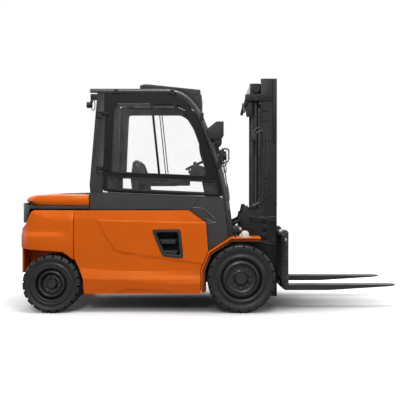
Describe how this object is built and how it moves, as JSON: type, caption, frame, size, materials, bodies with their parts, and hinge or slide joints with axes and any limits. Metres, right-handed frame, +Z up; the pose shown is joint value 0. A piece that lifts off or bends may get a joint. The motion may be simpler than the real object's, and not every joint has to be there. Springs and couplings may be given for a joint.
{
  "type": "electric counterbalance forklift",
  "caption": "Electric counterbalance forklift with a closed cab, tilting two-stage lift mast, fork carriage with two shifting forks and steered rear wheels.",
  "frame": {"origin": "on the ground under the middle of the whole length", "axes": "+X forwards towards the fork tips, +Y to the driver's left, +Z up"},
  "size_m": [4.73, 1.52, 2.905],
  "materials": {
    "orange_paint": "satin",
    "frame_black": "satin",
    "battery_grey": "satin",
    "trim_grey": "matte",
    "cab_grey": "matte",
    "cab_black": "satin",
    "black_plastic": "matte",
    "floor_rubber": "matte",
    "window_glass": "gloss",
    "seat_fabric": "matte",
    "axle_black": "satin",
    "tyre_rubber": "matte",
    "rim_black": "satin",
    "mast_black": "satin",
    "fork_black": "satin",
    "chrome_rod": "polished",
    "hose_rubber": "matte"
  },
  "bodies": {
    "root": {"chassis_frame": "frame_black", "battery": "battery_grey", "counterweight": "orange_paint", "rear_trim": "trim_grey", "side_panel_left": "orange_paint", "step_left": "black_plastic", "front_fender_left": "orange_paint", "cab_side_left": "cab_grey", "cab_frame_left": "cab_black", "lamp_cluster_left": "black_plastic", "rear_lamp_left": "black_plastic", "side_panel_right": "orange_paint", "step_right": "black_plastic", "front_fender_right": "orange_paint", "cab_side_right": "cab_grey", "cab_frame_right": "cab_black", "lamp_cluster_right": "black_plastic", "rear_lamp_right": "black_plastic", "cab_floor": "floor_rubber", "roof_guard": "cab_black", "roof_window": "window_glass", "windscreen": "window_glass", "rear_window": "window_glass", "dashboard": "black_plastic", "seat_base": "black_plastic", "seat": "seat_fabric", "roof_housing": "black_plastic", "drive_axle": "axle_black", "steer_axle": "axle_black"},
    "rear_hood": {"rear_hood": "orange_paint"},
    "steering_wheel": {"steering_wheel": "black_plastic"},
    "door_left": {"door_left": "cab_black", "door_glass_left": "window_glass"},
    "door_right": {"door_right": "cab_black", "door_glass_right": "window_glass"},
    "knuckle_left": {"knuckle_left": "axle_black"},
    "knuckle_right": {"knuckle_right": "axle_black"},
    "front_wheel_left": {"front_tyre_left": "tyre_rubber", "front_rim_left": "rim_black"},
    "front_wheel_right": {"front_tyre_right": "tyre_rubber", "front_rim_right": "rim_black"},
    "rear_wheel_left": {"rear_tyre_left": "tyre_rubber", "rear_rim_left": "rim_black"},
    "rear_wheel_right": {"rear_tyre_right": "tyre_rubber", "rear_rim_right": "rim_black"},
    "mast_outer": {"mast_outer": "mast_black", "mast_hoses": "hose_rubber"},
    "mast_inner": {"mast_inner": "mast_black"},
    "carriage": {"carriage": "mast_black"},
    "fork_left": {"fork_left": "fork_black"},
    "fork_right": {"fork_right": "fork_black"},
    "tilt_cylinder_left": {"tilt_cylinder_left": "mast_black"},
    "tilt_rod_left": {"tilt_rod_left": "chrome_rod"},
    "tilt_cylinder_right": {"tilt_cylinder_right": "mast_black"},
    "tilt_rod_right": {"tilt_rod_right": "chrome_rod"}
  },
  "joints": [
    {"name": "mast_tilt", "type": "hinge", "parent": "root", "child": "mast_outer", "pos_m": [0.408, 0, 0.41499], "axis": [0, 1, 0], "range_deg": [-8, 6]},
    {"name": "mast_lift", "type": "slide", "parent": "mast_outer", "child": "mast_inner", "axis": [0, 0, 1], "range_m": [-0.085, 1.55]},
    {"name": "carriage_lift", "type": "slide", "parent": "mast_inner", "child": "carriage", "axis": [0, 0, 1], "range_m": [-0.085, 1.55]},
    {"name": "fork_left_shift", "type": "slide", "parent": "carriage", "child": "fork_left", "axis": [0, 1, 0], "range_m": [-0.3, 0.2]},
    {"name": "fork_right_shift", "type": "slide", "parent": "carriage", "child": "fork_right", "axis": [0, -1, 0], "range_m": [-0.3, 0.2]},
    {"name": "tilt_cylinder_left_pivot", "type": "hinge", "parent": "root", "child": "tilt_cylinder_left", "pos_m": [-0.18, 0.325, 0.8], "axis": [0, 1, 0], "range_deg": [-4.2, 3.2]},
    {"name": "tilt_rod_left_stroke", "type": "slide", "parent": "tilt_cylinder_left", "child": "tilt_rod_left", "axis": [0.8886, 0, 0.4586], "range_m": [-0.09, 0.068]},
    {"name": "tilt_cylinder_right_pivot", "type": "hinge", "parent": "root", "child": "tilt_cylinder_right", "pos_m": [-0.18, -0.325, 0.8], "axis": [0, 1, 0], "range_deg": [-4.2, 3.2]},
    {"name": "tilt_rod_right_stroke", "type": "slide", "parent": "tilt_cylinder_right", "child": "tilt_rod_right", "axis": [0.8886, 0, 0.4586], "range_m": [-0.09, 0.068]},
    {"name": "rear_left_steer", "type": "hinge", "parent": "root", "child": "knuckle_left", "pos_m": [-1.896, 0.52, 0.35379], "axis": [0, 0, 1], "range_deg": [-55, 55]},
    {"name": "rear_left_spin", "type": "hinge", "parent": "knuckle_left", "child": "rear_wheel_left", "pos_m": [-1.896, 0.61, 0.35379], "axis": [0, 1, 0], "continuous": true},
    {"name": "front_left_spin", "type": "hinge", "parent": "root", "child": "front_wheel_left", "pos_m": [0.408, 0.609, 0.41499], "axis": [0, 1, 0], "continuous": true},
    {"name": "door_left_hinge", "type": "hinge", "parent": "root", "child": "door_left", "pos_m": [-1.291, 0.652, 2], "axis": [0, 0, 1], "range_deg": [0, 85]},
    {"name": "rear_right_steer", "type": "hinge", "parent": "root", "child": "knuckle_right", "pos_m": [-1.896, -0.52, 0.35379], "axis": [0, 0, 1], "range_deg": [-55, 55]},
    {"name": "rear_right_spin", "type": "hinge", "parent": "knuckle_right", "child": "rear_wheel_right", "pos_m": [-1.896, -0.61, 0.35379], "axis": [0, 1, 0], "continuous": true},
    {"name": "front_right_spin", "type": "hinge", "parent": "root", "child": "front_wheel_right", "pos_m": [0.408, -0.609, 0.41499], "axis": [0, 1, 0], "continuous": true},
    {"name": "door_right_hinge", "type": "hinge", "parent": "root", "child": "door_right", "pos_m": [-1.291, -0.652, 2], "axis": [0, 0, -1], "range_deg": [0, 85]},
    {"name": "rear_hood_hinge", "type": "hinge", "parent": "root", "child": "rear_hood", "pos_m": [-1.46, 0, 1.457], "axis": [0, 1, 0], "range_deg": [0, 60]},
    {"name": "steering_wheel_turn", "type": "hinge", "parent": "root", "child": "steering_wheel", "pos_m": [-0.168, 0, 1.823], "axis": [-0.4226, 0, 0.9063], "continuous": true}
  ],
  "couplings": [
    {"joint": "carriage_lift", "follows": "mast_lift", "ratio": 1},
    {"joint": "rear_right_steer", "follows": "rear_left_steer", "ratio": 1},
    {"joint": "tilt_cylinder_left_pivot", "follows": "mast_tilt", "ratio": 0.5038},
    {"joint": "tilt_rod_left_stroke", "follows": "mast_tilt", "m_per_rad": 0.6138},
    {"joint": "tilt_cylinder_right_pivot", "follows": "mast_tilt", "ratio": 0.5038},
    {"joint": "tilt_rod_right_stroke", "follows": "mast_tilt", "m_per_rad": 0.6138}
  ]
}
